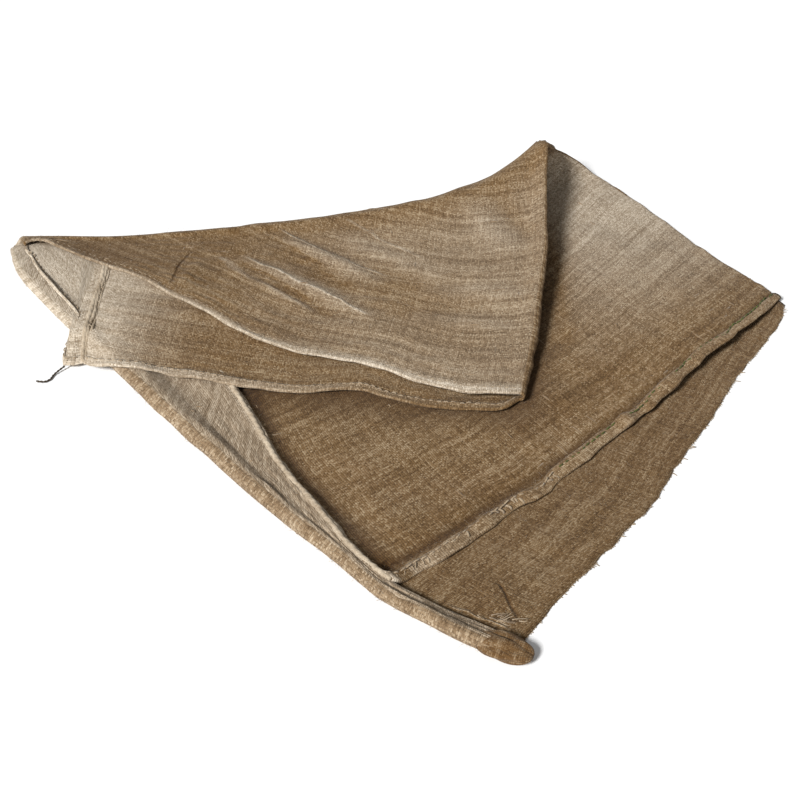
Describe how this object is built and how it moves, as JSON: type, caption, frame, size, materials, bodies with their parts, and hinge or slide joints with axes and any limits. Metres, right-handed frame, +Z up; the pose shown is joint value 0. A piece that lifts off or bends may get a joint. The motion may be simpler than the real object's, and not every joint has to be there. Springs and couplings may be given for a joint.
{
  "type": "empty jute sack, folded over once",
  "caption": "Empty woven jute sack lying flat, its open end folded back over it, with a side seam, a sewn bottom hem and a loose end of seam yarn.",
  "frame": {"origin": "middle of the cloth's footprint, on the surface that the sack lies on", "axes": "+Z up; +X to the right and +Y away, seen from the side where the folded-over open end shows"},
  "size_m": [1.0172, 0.892, 0.0975],
  "materials": {
    "hessian": "matte woven jute",
    "jute_yarn": "matte twisted yarn"
  },
  "bodies": {
    "root": {"sack_cloth": "hessian", "seam_yarn_tail": "jute_yarn"}
  },
  "joints": []
}
